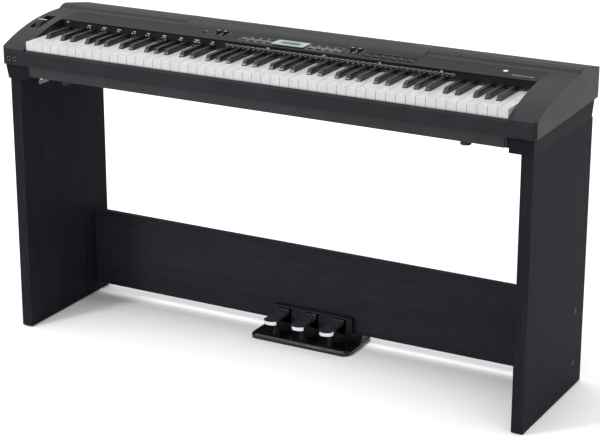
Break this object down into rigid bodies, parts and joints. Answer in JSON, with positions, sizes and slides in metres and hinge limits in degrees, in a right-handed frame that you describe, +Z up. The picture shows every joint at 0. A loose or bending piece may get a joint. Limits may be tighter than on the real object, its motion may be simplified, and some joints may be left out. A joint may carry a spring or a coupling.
{
  "type": "digital piano",
  "caption": "Digital piano with a full keyboard, control deck and rear rail, standing on two side boards and a back board with a pedal unit.",
  "frame": {"origin": "on the floor, under the middle of the piano", "axes": "+X to the player's right, +Y away from the player, +Z up"},
  "size_m": [1.354, 0.362, 0.7649],
  "materials": {
    "board": "black wood-grain laminate, satin",
    "rubber": "matte",
    "steel": "zinc plated",
    "black_metal": "satin black",
    "case_plastic": "fine texture",
    "shell_plastic": "fine texture",
    "pedal_plastic": "gloss",
    "red_felt": "felt",
    "circuit_board": "solder mask",
    "speaker_cone": "paper cone",
    "display_frame": "pale gloss",
    "display_glass": "clear over a grey liquid crystal",
    "socket_plastic": "satin",
    "pedal_chrome": "polished",
    "control_plastic": "satin",
    "white_key": "gloss",
    "black_key": "satin"
  },
  "bodies": {
    "piano": {"left_leg": "board", "right_leg": "board", "back_board": "board", "leg_glides": "rubber", "leg_brackets": "steel", "case_screws": "steel", "board_bolts": "black_metal", "lower_case": "case_plastic", "end_blocks": "case_plastic", "front_rail": "shell_plastic", "left_cheek": "shell_plastic", "right_cheek": "shell_plastic", "control_panel": "shell_plastic", "fallboard": "shell_plastic", "rear_rail_ends": "shell_plastic", "rear_rail_middle": "shell_plastic", "rest_channel": "shell_plastic", "key_chassis": "steel", "key_pivot_rod": "steel", "key_felts": "red_felt", "circuit_boards": "circuit_board", "speakers": "speaker_cone", "display_frame": "display_frame", "display_window": "display_glass", "headphone_jacks": "socket_plastic", "rear_sockets": "socket_plastic", "case_feet": "rubber", "pedal_base": "pedal_plastic", "pedal_housing": "shell_plastic", "pedal_shaft": "steel", "pedal_springs": "steel", "pedal_stops": "rubber"},
    "pedal_left": {"pedal_left": "pedal_chrome"},
    "pedal_middle": {"pedal_middle": "pedal_chrome"},
    "pedal_right": {"pedal_right": "pedal_chrome"},
    "pitch_wheel": {"pitch_wheel": "control_plastic"},
    "power_button": {"power_button": "control_plastic"},
    "volume_slider": {"volume_slider": "control_plastic"},
    "accompaniment_slider": {"accompaniment_slider": "control_plastic"},
    "bass_slider": {"bass_slider": "control_plastic"},
    "treble_slider": {"treble_slider": "control_plastic"},
    "buttons_left": {"buttons_left": "control_plastic"},
    "buttons_middle": {"buttons_middle": "control_plastic"},
    "buttons_right": {"buttons_right": "control_plastic"},
    "key_c": {"key_c": "white_key"},
    "key_c_sharp": {"key_c_sharp": "black_key"},
    "key_d": {"key_d": "white_key"},
    "key_d_sharp": {"key_d_sharp": "black_key"},
    "key_e": {"key_e": "white_key"},
    "key_f": {"key_f": "white_key"},
    "key_f_sharp": {"key_f_sharp": "black_key"},
    "key_g": {"key_g": "white_key"},
    "key_g_sharp": {"key_g_sharp": "black_key"},
    "key_a": {"key_a": "white_key"},
    "key_a_sharp": {"key_a_sharp": "black_key"},
    "key_b": {"key_b": "white_key"},
    "white_keys_bass": {"white_keys_bass": "white_key"},
    "black_keys_bass": {"black_keys_bass": "black_key"},
    "white_keys_treble": {"white_keys_treble": "white_key"},
    "black_keys_treble": {"black_keys_treble": "black_key"}
  },
  "joints": [
    {"name": "key_c_press", "type": "hinge", "parent": "piano", "child": "key_c", "pos_m": [0, 0.06, 0.716], "axis": [1, 0, 0], "range_deg": [0, 2.47], "stiffness_Nm_per_rad": 1.2, "springref_deg": -11.46},
    {"name": "key_c_sharp_press", "type": "hinge", "parent": "piano", "child": "key_c_sharp", "pos_m": [0, 0.06, 0.716], "axis": [1, 0, 0], "range_deg": [0, 2.47], "stiffness_Nm_per_rad": 0.8, "springref_deg": -11.46},
    {"name": "key_d_press", "type": "hinge", "parent": "piano", "child": "key_d", "pos_m": [0, 0.06, 0.716], "axis": [1, 0, 0], "range_deg": [0, 2.47], "stiffness_Nm_per_rad": 1.2, "springref_deg": -11.46},
    {"name": "key_d_sharp_press", "type": "hinge", "parent": "piano", "child": "key_d_sharp", "pos_m": [0, 0.06, 0.716], "axis": [1, 0, 0], "range_deg": [0, 2.47], "stiffness_Nm_per_rad": 0.8, "springref_deg": -11.46},
    {"name": "key_e_press", "type": "hinge", "parent": "piano", "child": "key_e", "pos_m": [0, 0.06, 0.716], "axis": [1, 0, 0], "range_deg": [0, 2.47], "stiffness_Nm_per_rad": 1.2, "springref_deg": -11.46},
    {"name": "key_f_press", "type": "hinge", "parent": "piano", "child": "key_f", "pos_m": [0, 0.06, 0.716], "axis": [1, 0, 0], "range_deg": [0, 2.47], "stiffness_Nm_per_rad": 1.2, "springref_deg": -11.46},
    {"name": "key_f_sharp_press", "type": "hinge", "parent": "piano", "child": "key_f_sharp", "pos_m": [0, 0.06, 0.716], "axis": [1, 0, 0], "range_deg": [0, 2.47], "stiffness_Nm_per_rad": 0.8, "springref_deg": -11.46},
    {"name": "key_g_press", "type": "hinge", "parent": "piano", "child": "key_g", "pos_m": [0, 0.06, 0.716], "axis": [1, 0, 0], "range_deg": [0, 2.47], "stiffness_Nm_per_rad": 1.2, "springref_deg": -11.46},
    {"name": "key_g_sharp_press", "type": "hinge", "parent": "piano", "child": "key_g_sharp", "pos_m": [0, 0.06, 0.716], "axis": [1, 0, 0], "range_deg": [0, 2.47], "stiffness_Nm_per_rad": 0.8, "springref_deg": -11.46},
    {"name": "key_a_press", "type": "hinge", "parent": "piano", "child": "key_a", "pos_m": [0, 0.06, 0.716], "axis": [1, 0, 0], "range_deg": [0, 2.47], "stiffness_Nm_per_rad": 1.2, "springref_deg": -11.46},
    {"name": "key_a_sharp_press", "type": "hinge", "parent": "piano", "child": "key_a_sharp", "pos_m": [0, 0.06, 0.716], "axis": [1, 0, 0], "range_deg": [0, 2.47], "stiffness_Nm_per_rad": 0.8, "springref_deg": -11.46},
    {"name": "key_b_press", "type": "hinge", "parent": "piano", "child": "key_b", "pos_m": [0, 0.06, 0.716], "axis": [1, 0, 0], "range_deg": [0, 2.47], "stiffness_Nm_per_rad": 1.2, "springref_deg": -11.46},
    {"name": "white_keys_bass_press", "type": "hinge", "parent": "piano", "child": "white_keys_bass", "pos_m": [0, 0.06, 0.716], "axis": [1, 0, 0], "range_deg": [0, 2.47], "stiffness_Nm_per_rad": 27.6, "springref_deg": -11.46},
    {"name": "black_keys_bass_press", "type": "hinge", "parent": "piano", "child": "black_keys_bass", "pos_m": [0, 0.06, 0.716], "axis": [1, 0, 0], "range_deg": [0, 2.47], "stiffness_Nm_per_rad": 12.8, "springref_deg": -11.46},
    {"name": "white_keys_treble_press", "type": "hinge", "parent": "piano", "child": "white_keys_treble", "pos_m": [0, 0.06, 0.716], "axis": [1, 0, 0], "range_deg": [0, 2.47], "stiffness_Nm_per_rad": 26.4, "springref_deg": -11.46},
    {"name": "black_keys_treble_press", "type": "hinge", "parent": "piano", "child": "black_keys_treble", "pos_m": [0, 0.06, 0.716], "axis": [1, 0, 0], "range_deg": [0, 2.47], "stiffness_Nm_per_rad": 12, "springref_deg": -11.46},
    {"name": "pedal_left_press", "type": "hinge", "parent": "piano", "child": "pedal_left", "pos_m": [0, 0.15, 0.054], "axis": [1, 0, 0], "range_deg": [0, 8], "stiffness_Nm_per_rad": 6, "springref_deg": -8.59},
    {"name": "pedal_middle_press", "type": "hinge", "parent": "piano", "child": "pedal_middle", "pos_m": [0, 0.15, 0.054], "axis": [1, 0, 0], "range_deg": [0, 8], "stiffness_Nm_per_rad": 6, "springref_deg": -8.59},
    {"name": "pedal_right_press", "type": "hinge", "parent": "piano", "child": "pedal_right", "pos_m": [0, 0.15, 0.054], "axis": [1, 0, 0], "range_deg": [0, 8], "stiffness_Nm_per_rad": 6, "springref_deg": -8.59},
    {"name": "pitch_wheel_turn", "type": "hinge", "parent": "piano", "child": "pitch_wheel", "pos_m": [-0.649, -0.05, 0.72374], "axis": [1, 0, 0], "range_deg": [-35, 35], "stiffness_Nm_per_rad": 0.08},
    {"name": "power_button_press", "type": "slide", "parent": "piano", "child": "power_button", "axis": [0, 0, 1], "range_m": [-0.001, 0], "stiffness_N_per_m": 600, "springref_m": 0.001},
    {"name": "buttons_left_press", "type": "slide", "parent": "piano", "child": "buttons_left", "axis": [0, 0, 1], "range_m": [-0.001, 0], "stiffness_N_per_m": 1500, "springref_m": 0.001},
    {"name": "buttons_middle_press", "type": "slide", "parent": "piano", "child": "buttons_middle", "axis": [0, 0, 1], "range_m": [-0.001, 0], "stiffness_N_per_m": 1500, "springref_m": 0.001},
    {"name": "buttons_right_press", "type": "slide", "parent": "piano", "child": "buttons_right", "axis": [0, 0, 1], "range_m": [-0.001, 0], "stiffness_N_per_m": 1500, "springref_m": 0.001},
    {"name": "volume_slider_move", "type": "slide", "parent": "piano", "child": "volume_slider", "axis": [0, 1, 0], "range_m": [-0.015, 0.015]},
    {"name": "accompaniment_slider_move", "type": "slide", "parent": "piano", "child": "accompaniment_slider", "axis": [0, 1, 0], "range_m": [-0.015, 0.015]},
    {"name": "bass_slider_move", "type": "slide", "parent": "piano", "child": "bass_slider", "axis": [0, 1, 0], "range_m": [-0.015, 0.015]},
    {"name": "treble_slider_move", "type": "slide", "parent": "piano", "child": "treble_slider", "axis": [0, 1, 0], "range_m": [-0.015, 0.015]}
  ]
}
